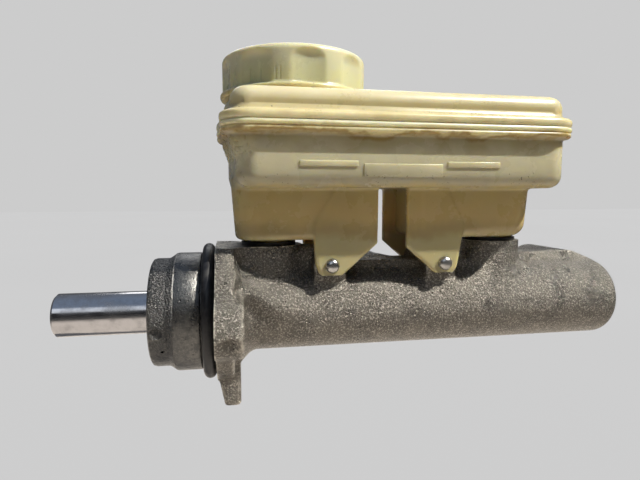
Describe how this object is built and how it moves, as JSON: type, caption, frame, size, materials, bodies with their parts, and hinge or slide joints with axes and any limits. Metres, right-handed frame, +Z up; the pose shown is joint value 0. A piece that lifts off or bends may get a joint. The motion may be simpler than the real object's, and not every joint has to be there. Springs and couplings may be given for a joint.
{
  "type": "brake master cylinder",
  "caption": "Tandem brake master cylinder: cast barrel with servo spigot and stud flange, steel piston stem, twin-chamber plastic reservoir with screw cap.",
  "frame": {"origin": "centre of the mounting flange's face, on the bore's axis", "axes": "+X along the bore to the closed front end, +Z up to the reservoir, +Y to the side with the outlet ports"},
  "size_m": [0.2221, 0.0835, 0.1328],
  "materials": {
    "cast_body": "rough as-cast grey iron, machined where it seals",
    "polished_steel": "ground and polished steel",
    "zinc_steel": "plain bright steel",
    "spring_steel": "drawn spring wire",
    "black_rubber": "smooth black rubber",
    "bush_plastic": "moulded glass-filled nylon",
    "tray_nylon": "aged translucent cream nylon",
    "lid_nylon": "aged translucent cream nylon",
    "cap_nylon": "moulded cream nylon"
  },
  "bodies": {
    "cylinder": {"cylinder_body": "cast_body", "servo_o_ring": "black_rubber", "circlip": "spring_steel", "stop_washer": "zinc_steel", "vacuum_seal": "black_rubber", "guide_bush": "bush_plastic", "fluid_seal": "black_rubber", "secondary_stop_pin": "zinc_steel", "rear_inlet_grommet": "black_rubber", "front_inlet_grommet": "black_rubber", "reservoir_tray": "tray_nylon", "reservoir_lid": "lid_nylon", "reservoir_pins": "zinc_steel", "pin_clips": "zinc_steel"},
    "primary": {"primary_piston": "polished_steel", "primary_cup_washer": "zinc_steel", "primary_cup": "black_rubber", "primary_spring_seat": "zinc_steel", "retaining_screw": "zinc_steel", "primary_spring": "spring_steel"},
    "secondary": {"secondary_piston": "polished_steel", "secondary_rear_washer": "zinc_steel", "secondary_rear_cup": "black_rubber", "secondary_front_washer": "zinc_steel", "secondary_front_cup": "black_rubber", "secondary_spring_seat": "zinc_steel", "spring_sleeve": "zinc_steel", "secondary_spring": "spring_steel"},
    "cap_lift": {"cap_seal": "black_rubber"},
    "cap": {"filler_cap": "cap_nylon"}
  },
  "joints": [
    {"name": "primary_slide", "type": "slide", "parent": "cylinder", "child": "primary", "axis": [1, 0, 0], "range_m": [0, 0.03], "stiffness_N_per_m": 600, "springref_m": -0.05, "deforming": ["primary_spring"]},
    {"name": "secondary_slide", "type": "slide", "parent": "cylinder", "child": "secondary", "axis": [1, 0, 0], "range_m": [0, 0.0135], "deforming": ["secondary_spring"]},
    {"name": "cap_rise", "type": "slide", "parent": "cylinder", "child": "cap_lift", "axis": [0, 0, 1], "range_m": [0, 0.006]},
    {"name": "cap_turn", "type": "hinge", "parent": "cap_lift", "child": "cap", "pos_m": [0.0317, 0.012, 0.09], "axis": [0, 0, 1], "range_deg": [0, 540]}
  ],
  "couplings": [
    {"joint": "secondary_slide", "follows": "primary_slide", "ratio": 0.45},
    {"joint": "cap_turn", "follows": "cap_rise", "rad_per_m": 1570.8}
  ]
}
